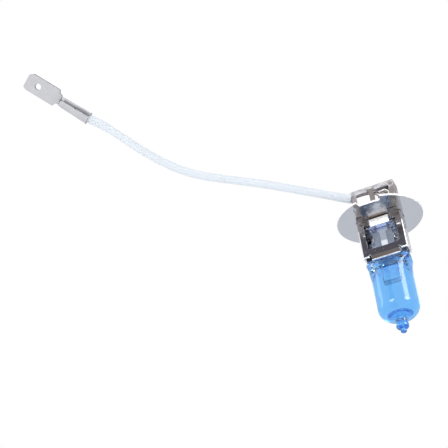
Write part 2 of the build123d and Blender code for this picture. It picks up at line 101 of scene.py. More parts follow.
def add_mesh(name, verts, faces, mats, face_mat=None, smooth=True, uv=None):
    """A mesh object from millimetre vertices; uv holds one pair per vertex."""
    mesh = bpy.data.meshes.new(name)
    points = np.asarray(verts, float) * MM
    mesh.from_pydata([tuple(point) for point in points], [], [list(face) for face in faces])
    for mat in mats:
        mesh.materials.append(mat)
    if face_mat is not None:
        mesh.polygons.foreach_set("material_index", np.asarray(face_mat, np.int32))
    mesh.polygons.foreach_set("use_smooth", np.full(len(mesh.polygons), smooth))
    if uv is not None:
        layer = mesh.uv_layers.new(name="UVMap")
        corners = np.zeros(len(mesh.loops), np.int32)
        mesh.loops.foreach_get("vertex_index", corners)
        layer.data.foreach_set("uv", np.asarray(uv, np.float32)[corners].ravel())
    mesh.update()
    obj = bpy.data.objects.new(name, mesh)
    bpy.context.scene.collection.objects.link(obj)
    return obj


def grid_faces(rows, cols, closed=True, base=0, flip=False):
    """Quads over a grid of vertices stored row by row from index base."""
    faces = []
    for i in range(rows - 1):
        for j in range(cols if closed else cols - 1):
            here, side = base + i * cols + j, base + i * cols + (j + 1) % cols
            quad = (here, side, side + cols, here + cols)
            faces.append((quad[0], quad[3], quad[2], quad[1]) if flip else quad)
    return faces


def pchip(x, knots, values):
    """Monotone cubic interpolation."""
    knots, values, x = (np.asarray(part, float) for part in (knots, values, x))
    gap = np.diff(knots)
    rise = np.diff(values) / gap
    slope = np.zeros(len(knots))
    slope[0], slope[-1] = rise[0], rise[-1]
    for i in range(1, len(knots) - 1):
        if rise[i - 1] * rise[i] > 0:
            before, after = 2 * gap[i] + gap[i - 1], gap[i] + 2 * gap[i - 1]
            slope[i] = (before + after) / (before / rise[i - 1] + after / rise[i])
    i = np.clip(np.searchsorted(knots, x) - 1, 0, len(knots) - 2)
    part = np.clip((x - knots[i]) / gap[i], 0, 1)
    return ((1 + 2 * part) * (1 - part) ** 2 * values[i]
            + part * (1 - part) ** 2 * gap[i] * slope[i]
            + part * part * (3 - 2 * part) * values[i + 1]
            + part * part * (part - 1) * gap[i] * slope[i + 1])


def stations(x, table):
    """Interpolate every column of a station table whose first column is the position."""
    columns = np.array(table, float).T
    return [pchip(x, columns[0], column) for column in columns[1:]]


def cubic_curve(points, count):
    """Natural cubic spline by chord length: evenly spaced points and their arc lengths."""
    points = np.asarray(points, float)
    chord = np.linalg.norm(np.diff(points, axis=0), axis=1)
    knots = np.concatenate([[0], np.cumsum(chord)])
    gap = np.diff(knots)
    system = np.zeros((len(points), len(points)))
    target = np.zeros_like(points)
    system[0, 0] = system[-1, -1] = 1
    for i in range(1, len(points) - 1):
        system[i, i - 1:i + 2] = gap[i - 1], 2 * (gap[i - 1] + gap[i]), gap[i]
        target[i] = 6 * ((points[i + 1] - points[i]) / gap[i]
                         - (points[i] - points[i - 1]) / gap[i - 1])
    bend = np.linalg.solve(system, target)

    def at(x):
        i = np.clip(np.searchsorted(knots, x) - 1, 0, len(gap) - 1)
        ahead, behind = (knots[i + 1] - x)[:, None], (x - knots[i])[:, None]
        width = gap[i][:, None]
        return (bend[i] * ahead ** 3 / (6 * width) + bend[i + 1] * behind ** 3 / (6 * width)
                + (points[i] / width - bend[i] * width / 6) * ahead
                + (points[i + 1] / width - bend[i + 1] * width / 6) * behind)

    fine = at(np.linspace(0, knots[-1], 6000))
    steps = np.linalg.norm(np.diff(fine, axis=0), axis=1)
    length = np.concatenate([[0], np.cumsum(steps)])
    even = np.linspace(0, length[-1], count)
    return np.stack([np.interp(even, length, fine[:, k]) for k in range(3)], 1), even


def line_tangents(line):
    tangents = np.gradient(line, axis=0)
    return tangents / np.linalg.norm(tangents, axis=1)[:, None]


def carried_frames(tangents, first_normal):
    """Normals and binormals carried along a line without twisting about it."""
    normals = np.zeros_like(tangents)
    normals[0] = first_normal
    for i in range(1, len(tangents)):
        last = normals[i - 1]
        normals[i] = unit(last - tangents[i] * (last @ tangents[i]))
    return normals, np.cross(tangents, normals)


# ---------------------------------------------------------------------------
# shader graphs
# ---------------------------------------------------------------------------
class Graph:
    """Builds nodes in a shader tree; every method that adds a value returns its socket."""

    def __init__(self, tree):
        self.tree = tree
        tree.nodes.clear()

    def node(self, kind, inputs=None, **settings):
        """Add a node and return its outputs; inputs are sockets to link or plain values."""
        node = self.tree.nodes.new("ShaderNode" + kind)
        for key, value in settings.items():
            setattr(node, key, value)
        for key, value in (inputs or {}).items():
            socket = node.inputs[key]
            if isinstance(value, bpy.types.NodeSocket):
                self.tree.links.new(value, socket)
            elif socket.type == "RGBA":
                socket.default_value = (*value, 1)
            else:
                socket.default_value = value
        return node.outputs

    def coords(self, scale=(1000, 1000, 1000), kind="Object"):
        """Texture coordinates; the default scale turns metres into millimetres."""
        source = self.node("TexCoord")[kind]
        return self.node("Mapping", {"Vector": source, "Scale": scale})["Vector"]

    def split(self, vector):
        return tuple(self.node("SeparateXYZ", {0: vector}))

    def noise(self, vector, scale, detail=3.0, rough=0.5, warp=0.0):
        return self.node("TexNoise", {"Scale": scale, "Detail": detail, "Roughness": rough,
                                      "Distortion": warp, "Vector": vector})["Fac"]

    def mix(self, factor, under, over):
        return self.node("Mix", {0: factor, 6: under, 7: over}, data_type="RGBA")[2]

    def mix_shader(self, factor, under, over):
        return self.node("MixShader", {0: factor, 1: under, 2: over})[0]

    def math(self, operation, first, second=0.0, clamp=False):
        return self.node("Math", {0: first, 1: second}, operation=operation, use_clamp=clamp)[0]

    def product(self, first, *others):
        for other in others:
            first = self.math("MULTIPLY", first, other)
        return first

    def absolute(self, value):
        return self.math("ABSOLUTE", value)

    def span(self, value, over, to=(0.0, 1.0), kind="LINEAR"):
        """Map the range over onto the range to."""
        return self.node("MapRange", {"Value": value, "From Min": over[0], "From Max": over[1],
                                      "To Min": to[0], "To Max": to[1]},
                         interpolation_type=kind)["Result"]

    def fade(self, value, over, to=(0.0, 1.0)):
        """span() with eased ends."""
        return self.span(value, over, to, kind="SMOOTHSTEP")

    def bump(self, height, strength, depth_mm, normal=None):
        inputs = {"Strength": strength, "Distance": depth_mm * MM, "Height": height}
        if normal is not None:
            inputs["Normal"] = normal
        return self.node("Bump", inputs)["Normal"]

    def bevel(self, radius_mm):
        return self.node("Bevel", {"Radius": radius_mm * MM}, samples=4)["Normal"]

    def mirror_ray(self, light_path):
        """One for reflected rays that have not passed through glass."""
        direct = self.math("SUBTRACT", 1.0, light_path["Is Transmission Ray"])
        return self.math("MULTIPLY", light_path["Is Glossy Ray"], direct)


class Mat(Graph):
    def __init__(self, name):
        self.material = bpy.data.materials.new(name)
        self.material.use_nodes = True
        super().__init__(self.material.node_tree)

    def finish(self, shader):
        self.node("OutputMaterial", {"Surface": shader})
        return self.material

    def principled(self, **inputs):
        """Finish with a Principled shader; underscores stand for spaces in input names."""
        named = {key.replace("_", " "): value for key, value in inputs.items()}
        return self.finish(self.node("BsdfPrincipled", named)[0])


# ---------------------------------------------------------------------------
# quartz
# ---------------------------------------------------------------------------
def coat_color(mat, place, fine):
    """Blue coating: none on the flat pinch, full from the shoulder to the tip."""
    cloud = mat.noise(place, scale=0.5, detail=4.0, rough=0.6)
    x, y, z = mat.split(place)
    on_tube = mat.fade(y, over=(-10.2, -12.4))
    density = mat.product(on_tube, mat.span(cloud, over=(0.2, 0.8), to=(0.94, 1.04)))
    from_axis = mat.absolute(x)
    # bluish middle at the pinch's free end: painted shade just below the spring tongue's end
    end_middle_painted_shade = mat.product(mat.fade(y, over=(-3.0, -2.4), to=(0.0, 0.8)),
                             mat.fade(from_axis, over=(2.8, 3.3), to=(1.0, 0.15)))
    clear = mat.mix(end_middle_painted_shade, under=(0.90, 0.93, 0.97), over=(0.42, 0.53, 0.82))
    # beads along the pinch's long edges, greyer at -X and warmer at +X: the grey is painted shade
    # of the holder's inside seen through the glass, the warm tint a painted reflection of the
    # holder's brown metal
    bead = mat.product(mat.fade(from_axis, over=(3.0, 3.25), to=(0.0, 0.9)),
                       mat.fade(y, over=(-9.4, -8.9)))
    bead_painted_shade_and_reflection = mat.mix(mat.span(x, over=(-0.5, 0.5)),
                         under=(0.40, 0.38, 0.41), over=(0.62, 0.53, 0.49))
    color = mat.mix(density, mat.mix(bead, clear, bead_painted_shade_and_reflection), over=(0.385, 0.69, 0.975))
    # cloudy deeper blue gathered on the shoulder
    shoulder = mat.product(mat.fade(y, over=(-11.4, -12.2)), mat.fade(y, over=(-14.9, -13.6)))
    blotch = mat.span(cloud, over=(0.40, 0.62), to=(0.0, 0.85))
    color = mat.mix(mat.product(shoulder, blotch), color, over=(0.30, 0.46, 0.86))
    # exhaust tip: pale with darker spots
    tip = mat.fade(y, over=(-28.6, -29.2))
    color = mat.mix(tip, color, over=(0.43, 0.75, 0.99))
    spots = mat.span(mat.noise(place, scale=2.2, rough=0.6), over=(0.42, 0.58))
    color = mat.mix(mat.product(tip, spots), color, over=(0.18, 0.47, 0.90))
    # dark outer corners where the pinch meets the shoulder
    corner = mat.product(mat.fade(mat.absolute(x), over=(3.7, 4.1), to=(0.0, 0.85)),
                         mat.fade(y, over=(-9.4, -9.9)), mat.fade(y, over=(-11.7, -11.3)))
    return mat.mix(corner, color, over=(0.22, 0.25, 0.36))


def bore_color(mat, place, fine):
    """Clear inner wall, with a wrinkled blue ring where the dome was drawn in to the tip."""
    color = mat.mix(mat.span(fine, over=(0.3, 0.7)),
                    under=(0.985, 0.99, 0.995), over=(0.97, 0.985, 0.995))
    x, y, z = mat.split(place)
    radius = mat.math("SQRT", mat.math("ADD", mat.math("POWER", x, 2.0),
                                       mat.math("POWER", z, 2.0)))
    ring = mat.product(mat.fade(radius, over=(2.0, 2.4)),
                       mat.fade(radius, over=(2.75, 3.15), to=(1.0, 0.0)),
                       mat.span(y, over=(-26.0, -26.4)))
    blotch = mat.span(mat.noise(place, scale=1.3, rough=0.6), over=(0.36, 0.60), to=(0.40, 1.0))
    color = mat.mix(mat.product(ring, blotch), color, over=(0.11, 0.33, 0.79))
    dots = mat.span(mat.noise(place, scale=2.4, detail=2.0, rough=0.6),
                    over=(0.53, 0.58), to=(0.0, 0.85))
    color = mat.mix(mat.product(ring, dots), color, over=(0.02, 0.10, 0.36))
    inside = mat.product(mat.fade(radius, over=(0.5, 0.9)),
                         mat.fade(radius, over=(2.0, 2.5), to=(1.0, 0.0)),
                         mat.span(y, over=(-26.0, -26.4)))
    veil = mat.span(mat.noise(place, scale=1.8, rough=0.6), over=(0.40, 0.60), to=(0.35, 1.0))
    return mat.mix(mat.product(inside, veil), color, over=(0.36, 0.62, 0.93))


def glass_mat(name, paint, ripple, mirror_ior, edge_share, edge_color):
    """Quartz: mirror and refraction split by Fresnel, clear to shadow rays."""
    mat = Mat(name)
    place = mat.coords()
    waves = mat.noise(place, scale=0.22, detail=2.0)
    fine = mat.noise(place, scale=3.2, rough=0.6)
    height = mat.math("ADD", mat.product(waves, 1.0), mat.product(fine, 0.02))
    normal = mat.bump(height, strength=ripple, depth_mm=0.12)
    color = paint(mat, place, fine)
    refraction = mat.node("BsdfRefraction", {"IOR": 1.46, "Roughness": 0.0, "Color": color,
                                             "Normal": normal})[0]
    mirror = mat.node("BsdfAnisotropic", {"Roughness": 0.03, "Color": (1, 1, 1),
                                          "Normal": normal})[0]
    fresnel = mat.node("Fresnel", {"IOR": mirror_ior, "Normal": normal})[0]
    body = mat.mix_shader(fresnel, refraction, mirror)
    # pale and milky where it is seen edge-on
    facing = mat.node("LayerWeight", {"Blend": 0.5})["Facing"]
    rim = mat.fade(facing, over=(0.70, 0.97), to=(0.0, edge_share))
    body = mat.mix_shader(rim, body, mat.node("BsdfTransparent", {"Color": edge_color})[0])
    # shadow rays and deeply nested rays pass straight through
    light_path = mat.node("LightPath")
    straight = mat.node("BsdfTransparent", {"Color": color})[0]
    deep = mat.math("GREATER_THAN", light_path["Ray Depth"], 4.5)
    passing = mat.math("MAXIMUM", deep, light_path["Is Shadow Ray"])
    return mat.finish(mat.mix_shader(passing, body, straight))


# ---------------------------------------------------------------------------
# sheet metal, wire and yarn
# ---------------------------------------------------------------------------
def weld_marks_and_painted_light(mat, place, color, rough, normal):
    """Holder shells: buckled and heat-marked next to the disc, with painted shadow in the corner at
    the disc and painted highlights on the free edges.
    """
    x, y, z = mat.split(place)
    near = mat.fade(y, over=(-5.4, -2.6))
    buckle = mat.product(mat.noise(place, scale=0.50, detail=2.0, warp=0.5), near)
    normal = mat.bump(buckle, strength=1.0, depth_mm=0.20, normal=normal)
    heat = mat.noise(place, scale=0.65, rough=0.6, warp=0.4)
    blotch = mat.product(near, mat.fade(heat, over=(0.42, 0.60), to=(0.0, 0.62)))
    side = mat.product(mat.fade(x, over=(2.4, 3.4), to=(0.0, 0.42)),
                       mat.span(y, over=(-7.5, -5.5)))
    color = mat.mix(mat.math("MAXIMUM", blotch, side), color, over=(0.21, 0.19, 0.20))
    # painted shadow: a dark line in the corner against the disc
    line = mat.span(y, over=(-0.22, -0.10), to=(0.0, 0.9))
    color = mat.mix(line, color, over=(0.05, 0.045, 0.045))
    # painted highlights: the tongue's lower lip and the ears' edges turn near white and rougher
    lip_highlight = mat.span(y, over=(-11.62, -11.72))
    ear_highlight = mat.product(mat.span(y, over=(-SHELL_EAR_Y + 0.30, -SHELL_EAR_Y + 0.20)),
                      mat.span(mat.absolute(x), over=(4.1, 4.16)))
    rim = mat.math("MAXIMUM", lip_highlight, ear_highlight)
    color = mat.mix(rim, color, over=(1.0, 0.98, 0.97))
    return color, mat.math("ADD", rough, mat.product(rim, 0.5)), normal


def hub_marks(mat, place, color, rough, normal):
    """Disc: its welded middle is slightly buckled and its plating rubbed."""
    x, y, z = mat.split(place)
    middle = mat.product(mat.fade(mat.absolute(x), over=(4.6, 6.2), to=(1.0, 0.0)),
                         mat.span(y, over=(0.3, 0.1)), mat.fade(z, over=(-0.5, 1.5)),
                         mat.fade(z, over=(7.4, 9.2), to=(1.0, 0.0)))
    buckle = mat.product(mat.noise(place, scale=0.42, detail=2.0, warp=0.6), middle)
    normal = mat.bump(buckle, strength=1.0, depth_mm=0.22, normal=normal)
    worn = mat.noise(place, scale=1.1, detail=4.0, rough=0.65)
    rubbed = mat.product(middle, mat.span(worn, over=(0.42, 0.62), to=(0.0, 0.28)))
    color = mat.mix(rubbed, color, over=(0.42, 0.36, 0.32))
    # brown band across the middle
    band = mat.product(mat.fade(mat.absolute(x), over=(2.3, 2.8), to=(0.9, 0.0)),
                       mat.fade(z, over=(1.5, 1.9)), mat.fade(z, over=(2.9, 3.7), to=(1.0, 0.0)))
    color = mat.mix(mat.product(band, middle), color, over=(0.20, 0.155, 0.13))
    return color, mat.math("ADD", rough, mat.product(middle, 0.14)), normal


def tarnish_and_painted_shade(mat, place, color, rough, normal):
    """Bracket: random brown tarnish patches, plus painted shade on the middle post, towards +X and
    in the low -X corner.
    """
    x, y, z = mat.split(place)
    cloud = mat.noise(place, scale=0.55, rough=0.6, warp=0.5)
    patch = mat.fade(cloud, over=(0.44, 0.60))
    # painted shade: darker on the middle post, towards +X and in the low -X corner
    post_x = mat.absolute(mat.math("ADD", x, 0.45))
    post = mat.product(mat.fade(post_x, over=(0.75, 1.15), to=(1.0, 0.0)),
                       mat.fade(y, over=(9.0, 8.3)))
    side = mat.product(mat.fade(x, over=(4.0, 4.9)),
                       mat.span(patch, over=(0.0, 1.0), to=(0.45, 1.0)))
    low = mat.product(mat.fade(y, over=(8.6, 7.4)),
                      mat.fade(x, over=(-4.0, -4.8), to=(0.0, 0.85)))
    placed_painted_shade = mat.math("ADD", mat.product(post, 1.2), mat.math("ADD", side, low))
    amount = mat.math("ADD", mat.product(patch, 0.45), placed_painted_shade, clamp=True)
    color = mat.mix(mat.product(amount, 0.9), color, over=(0.20, 0.17, 0.165))
    return color, rough, normal


def sheet_mat(name, base, rough, wave_mm, wave_scale, stain=0.0, grain=(9000, 600, 9000),
              bevel_mm=0.05, speck_mix=0.25, cloud_mix=1.0, metallic=1.0, specular=0.5,
              marks=None):
    """Pressed sheet: rolling grain, slight waviness, faint stains, rounded edges."""
    mat = Mat(name)
    place = mat.coords()
    rolled = mat.noise(mat.coords(scale=grain), scale=1.0, detail=2.0, rough=0.6)
    cloud = mat.noise(place, scale=0.45, detail=4.0, rough=0.6)
    speck = mat.noise(place, scale=9.0, detail=2.0, rough=0.7)
    waves = mat.noise(place, scale=wave_scale, detail=1.0, rough=0.4)
    clouded = mat.span(cloud, over=(0.3, 0.75), to=(0.0, cloud_mix))
    color = mat.mix(clouded, base, over=tuple(0.82 * part for part in base))
    if stain:
        warm = (base[0] * 0.95, base[1] * 0.80, base[2] * 0.60)
        stained = mat.span(mat.noise(place, scale=0.22, rough=0.6),
                           over=(0.45, 0.7), to=(0.0, stain))
        color = mat.mix(stained, color, warm)
    specked = mat.span(speck, over=(0.66, 0.8), to=(0.0, speck_mix))
    color = mat.mix(specked, color, over=tuple(0.6 * part for part in base))
    roughness = mat.math("ADD",
                         mat.span(rolled, over=(0.3, 0.7), to=(rough * 0.75, rough * 1.25)),
                         mat.span(cloud, over=(0.3, 0.8), to=(0.0, rough * 0.5)))
    normal = mat.bump(waves, strength=1.0, depth_mm=wave_mm, normal=mat.bevel(bevel_mm))
    if marks:
        color, roughness, normal = marks(mat, place, color, roughness, normal)
    texture = mat.math("ADD", rolled, mat.product(speck, 0.4))
    normal = mat.bump(texture, strength=0.25, depth_mm=0.004, normal=normal)
    return mat.principled(Base_Color=color, Metallic=metallic, Roughness=roughness,
                          Normal=normal, Specular_IOR_Level=specular)


def wire_mat(name, base, rough, metallic=1.0, scale=6.0, bump_mm=0.006, dark=0.6):
    """Drawn wire, mottled between base and a darker share of it."""
    mat = Mat(name)
    place = mat.coords()
    mottle = mat.noise(place, scale=scale, detail=4.0, rough=0.65)
    cloud = mat.noise(place, scale=scale * 0.2, detail=2.0)
    color = mat.mix(mat.span(mottle, over=(0.35, 0.7)), base,
                    over=tuple(dark * part for part in base))
    color = mat.mix(mat.span(cloud, over=(0.4, 0.7), to=(0.0, 0.4)), color,
                    over=tuple(0.8 * part for part in base))
    normal = mat.bump(mottle, strength=0.5, depth_mm=bump_mm, normal=mat.bevel(0.02))
    roughness = mat.span(mottle, over=(0.3, 0.7), to=(rough * 0.8, rough * 1.2))
    return mat.principled(Base_Color=color, Metallic=metallic, Roughness=roughness,
                          Normal=normal)


def coil_mat(name):
    """Coil of a finer coil, coloured by view: pale where it faces the eye, a painted glint, and
    dark towards the roll's sides, painted shade.
    """
    mat = Mat(name)
    place = mat.coords()
    x, y, z = mat.split(place)
    offset = mat.node("CombineXYZ", {"Y": mat.math("SUBTRACT", y, COIL_Y), "Z": z})[0]
    outward = mat.node("VectorMath", {0: offset}, operation="NORMALIZE")["Vector"]
    incoming = mat.node("NewGeometry")["Incoming"]
    facing = mat.node("VectorMath", {0: outward, 1: incoming}, operation="DOT_PRODUCT")["Value"]
    # painted shade on the roll's sides, painted glint where it faces the eye
    side = mat.fade(mat.absolute(facing), over=(0.45, 0.70), to=(1.0, 0.0))
    grain = mat.noise(place, scale=12.0, rough=0.6)
    painted_glint = mat.mix(grain, under=(0.80, 0.86, 0.95), over=(0.62, 0.68, 0.78))
    shade_painted = mat.mix(grain, under=(0.03, 0.03, 0.035), over=(0.08, 0.08, 0.09))
    return mat.principled(Base_Color=mat.mix(side, painted_glint, shade_painted), Metallic=0.6,
                          Roughness=0.4, Normal=mat.bump(grain, strength=0.4, depth_mm=0.004))


def braid_mat(name):
    """Glass-fibre yarn: fine filaments along the yarn, soft sheen, slightly cool white."""
    mat = Mat(name)
    along_yarn = mat.coords(scale=(0.9, 46.0, 1.0), kind="UV")
    fibre = mat.noise(along_yarn, scale=1.0, rough=0.6, warp=0.3)
    place = mat.coords()
    dirt = mat.noise(place, scale=0.35, detail=4.0, rough=0.6)
    lumps = mat.noise(place, scale=2.4, detail=2.0)
    # painted shade: darker where ambient occlusion finds the yarn hemmed in
    openness = mat.node("AmbientOcclusion", {"Distance": 0.45 * MM}, samples=4)["AO"]
    crevice_painted_shade = mat.span(openness, over=(0.1, 0.8), to=(1.0, 0.0))
    color = mat.mix(mat.span(fibre, over=(0.32, 0.66)),
                    under=(0.90, 0.95, 1.0), over=(0.80, 0.86, 0.94))
    color = mat.mix(mat.span(dirt, over=(0.45, 0.75), to=(0.0, 0.25)), color,
                    over=(0.80, 0.82, 0.85))
    color = mat.mix(mat.product(crevice_painted_shade, 0.4), color, over=(0.74, 0.79, 0.88))
    height = mat.math("ADD", fibre, mat.product(lumps, 0.6))
    return mat.principled(
        Base_Color=color, Roughness=mat.span(fibre, over=(0.3, 0.7), to=(0.32, 0.5)),
        Normal=mat.bump(height, strength=0.7, depth_mm=0.02),
        Sheen_Weight=0.12, Sheen_Roughness=0.4, Subsurface_Weight=0.15,
        Subsurface_Radius=(1.0, 1.0, 1.0), Subsurface_Scale=0.25 * MM, Specular_IOR_Level=0.05)


GLASS_OUT = glass_mat("quartz_blue_coat", coat_color, ripple=0.35, mirror_ior=1.52,
                      edge_share=0.85, edge_color=(0.62, 0.80, 0.97))
GLASS_IN = glass_mat("quartz_inner_wall", bore_color, ripple=0.2, mirror_ior=1.46,
                     edge_share=0.9, edge_color=(0.9, 0.95, 1.0))
NICKEL = sheet_mat("nickel_sheet", base=(0.72, 0.72, 0.73), rough=0.07, wave_mm=0.03,
                   wave_scale=0.28, stain=0.06, marks=weld_marks_and_painted_light)
# pale nickel for the spring tongues: painted paler, a stand-in for their white reflection
NICKEL_SATIN_PAINTED_PALE = sheet_mat("nickel_satin_painted_pale", base=(1.0, 0.98, 0.98), rough=0.25, wave_mm=0.01,
                         wave_scale=0.5, speck_mix=0.0, cloud_mix=0.25, metallic=0.45)
# near-white edge material: a painted highlight on sheared edges and free ends
NICKEL_EDGE_HIGHLIGHT = sheet_mat("nickel_edge_painted_highlight", base=(1.0, 0.985, 0.98), rough=0.5, wave_mm=0.01,
                        wave_scale=0.8, speck_mix=0.05, cloud_mix=0.15, bevel_mm=0.03,
                        metallic=0.4)
NICKEL_BRACKET = sheet_mat("nickel_bracket", base=(0.62, 0.62, 0.66), rough=0.36, wave_mm=0.16,
                           wave_scale=0.32, stain=0.1, speck_mix=0.05, metallic=0.55,
                           marks=tarnish_and_painted_shade)
NICKEL_DISC = sheet_mat("nickel_disc", base=(0.655, 0.668, 0.705), rough=0.06, wave_mm=0.008,
                        wave_scale=0.16, speck_mix=0.05, cloud_mix=0.25,
                        grain=(600, 9000, 9000), marks=hub_marks)
CLIP = sheet_mat("tinned_clip", base=(1.0, 0.955, 0.94), rough=0.35, wave_mm=0.03,
                 wave_scale=0.6, speck_mix=0.05, cloud_mix=0.3, metallic=0.5)
TIN = sheet_mat("tinned_brass", base=(0.60, 0.60, 0.625), rough=0.5, wave_mm=0.02,
                wave_scale=0.5, grain=(3000, 3000, 3000), bevel_mm=0.08, speck_mix=0.03,
                cloud_mix=0.5, metallic=0.0, specular=0.06)
# darker tinned brass: painted shade on the tab's side faces and the crimp's pressed-in wing
TIN_PAINTED_SHADE = sheet_mat("tinned_brass_painted_shade", base=(0.34, 0.34, 0.36), rough=0.5,
                     wave_mm=0.02, wave_scale=0.8, grain=(3000, 3000, 3000), bevel_mm=0.04,
                     speck_mix=0.05, metallic=0.0, specular=0.06)
TUNGSTEN = wire_mat("tungsten_wire", base=(0.20, 0.20, 0.21), rough=0.38, scale=12.0)
COIL = coil_mat("tungsten_coil")
LEG = wire_mat("molybdenum_leg", base=(0.92, 0.95, 1.0), rough=0.4, metallic=0.0, dark=0.85)
MOLY = wire_mat("molybdenum_foil", base=(0.60, 0.64, 0.72), rough=0.5, scale=1.6,
                bump_mm=0.02, dark=0.85)
PIN = wire_mat("molybdenum_pin", base=(0.62, 0.63, 0.66), rough=0.22, scale=4.0, dark=0.8)
COPPER = wire_mat("tinned_copper_strand", base=(0.74, 0.70, 0.67), rough=0.35, scale=5.0)
BRAID = braid_mat("glass_fibre_yarn")
LINER = wire_mat("glass_fibre_liner", base=(0.90, 0.94, 1.0), rough=0.6, metallic=0.0,
                 scale=2.0, bump_mm=0.02, dark=0.9)

CAD_MATERIALS = {
    "filament_coil": TUNGSTEN, "filament_leg_left": LEG, "filament_leg_right": LEG,
    "moly_foil_left": MOLY, "moly_foil_right": MOLY,
    "outer_pin_ground": PIN, "outer_pin_live": PIN,
    "holder_front_shell": NICKEL, "holder_back_shell": NICKEL, "focus_disc": NICKEL_DISC,
    "rear_bracket": NICKEL_BRACKET, "splice_clip": CLIP, "blade_terminal": TIN,
    "lead_conductor_root": COPPER, "lead_conductor_1": COPPER, "lead_conductor_2": COPPER,
    "lead_conductor_3": COPPER, "lead_conductor_4": COPPER,
}


def dress_cad_pieces():
    for name, mat in CAD_MATERIALS.items():
        mesh = nodes[name].data
        mesh.materials.clear()
        mesh.materials.append(mat)
    # the disc's sheared edge gets the paler edge material, a painted highlight
    mesh = nodes["focus_disc"].data
    mesh.materials.append(NICKEL_EDGE_HIGHLIGHT)
    for polygon in mesh.polygons:
        if abs(polygon.normal.y) < 0.9:
            polygon.material_index = 1
    # the shells' spring tongues are brushed and painted paler as a stand-in for their white
    # reflection; their free ends get the painted edge highlight
    for name in ("holder_front_shell", "holder_back_shell"):
        mesh = nodes[name].data
        mesh.materials.append(NICKEL_SATIN_PAINTED_PALE)
        mesh.materials.append(NICKEL_EDGE_HIGHLIGHT)
        for polygon in mesh.polygons:
            x, y, z = polygon.center / MM
            if abs(x) < 2.52 and -2.75 < y < -0.2 and abs(z) < 2.05:
                polygon.material_index = 1
            elif polygon.normal.y < -0.6 and y < -9.5:
                polygon.material_index = 2


dress_cad_pieces()

# ---------------------------------------------------------------------------
# quartz envelope: flat pinch, pressed shoulder, tube, dome and exhaust tip
# Here y counts positive towards the tip; envelope() turns it round at the end.
# ---------------------------------------------------------------------------
RING_POINTS = 112
RING_ANGLES = np.linspace(0, 2 * math.pi, RING_POINTS, endpoint=False)
RING_COS, RING_SIN = circle(RING_POINTS)

PINCH_END, TUBE_R, DOME_Y = 1.75, 5.15, 25.6
BORE_R, BORE_DOME_Y = 4.2, 25.2
END_ROUND = 0.35                            # corner rounding of the pinch's end
NOTCH_X, NOTCH_Y, NOTCH_R = 5.6, 4.6, 3.0   # round notch in each long edge of the pinch
BEAD_END = 12.2                             # the pinch's edge beads stop here
PRESS_START, PRESS_END = 11.2, 15.8         # lumpy pressed shoulder

# y, half width along X, half thickness along Z, superellipse power
OUTER_SECTIONS = [
    (PINCH_END, 5.3, 1.4, 7.0), (11.3, 5.3, 1.4, 7.0), (11.9, 5.42, 1.55, 5.5),
    (12.6, 5.75, 2.8, 3.2), (13.6, 5.72, 4.2, 2.4), (15.2, 5.42, 5.0, 2.05),
    (17.0, 5.2, 5.14, 2.0), (18.4, TUBE_R, TUBE_R, 2.0), (DOME_Y, TUBE_R, TUBE_R, 2.0)]
# the cavity starts as a wedge along the pinch and opens parallel to the outside
BORE_SECTIONS = [
    (12.5, 3.1, 0.35, 2.2), (12.7, 3.4, 0.85, 2.3), (13.0, 3.62, 1.45, 2.3),
    (13.5, 3.82, 2.35, 2.2), (14.1, 3.96, 3.12, 2.1), (14.9, 4.08, 3.74, 2.05),
    (15.8, 4.15, 4.04, 2.0), (16.8, BORE_R, 4.18, 2.0)]
# shoulder lumps: height, waves round the tube, drift with y, phase
LUMPS = [(0.16, 3, 0.9, 1.1), (0.06, 7, -1.6, 0.0), (0.03, 11, 2.1, 0.0)]
# exhaust tip: radius, y
TIP_PROFILE = [
    (1.56, 28.98), (1.46, 29.25), (1.42, 29.6), (1.44, 30.1), (1.58, 30.45), (1.61, 30.75),
    (1.50, 31.1), (1.28, 31.38), (1.0, 31.55), (0.80, 31.70), (0.72, 31.85), (0.74, 32.02),
    (0.78, 32.16), (0.72, 32.32), (0.58, 32.44), (0.40, 32.52), (0.20, 32.575)]
# narrowing bore inside the tip: y, radius
BORE_NECK = [
    (27.58, 2.55), (27.68, 2.20), (27.78, 1.84), (27.89, 1.48), (28.03, 1.12), (28.2, 0.82),
    (28.4, 0.58), (28.7, 0.46), (29.4, 0.40), (30.3, 0.34), (30.6, 0.18)]


def section(y, half_x, half_z, power=2.0):
    """Ring of points on a superellipse across the bulb's axis."""
    x = half_x * np.sign(RING_COS) * np.abs(RING_COS) ** (2.0 / power)
    z = half_z * np.sign(RING_SIN) * np.abs(RING_SIN) ** (2.0 / power)
    return np.stack([x, np.full(RING_POINTS, y), z], 1)


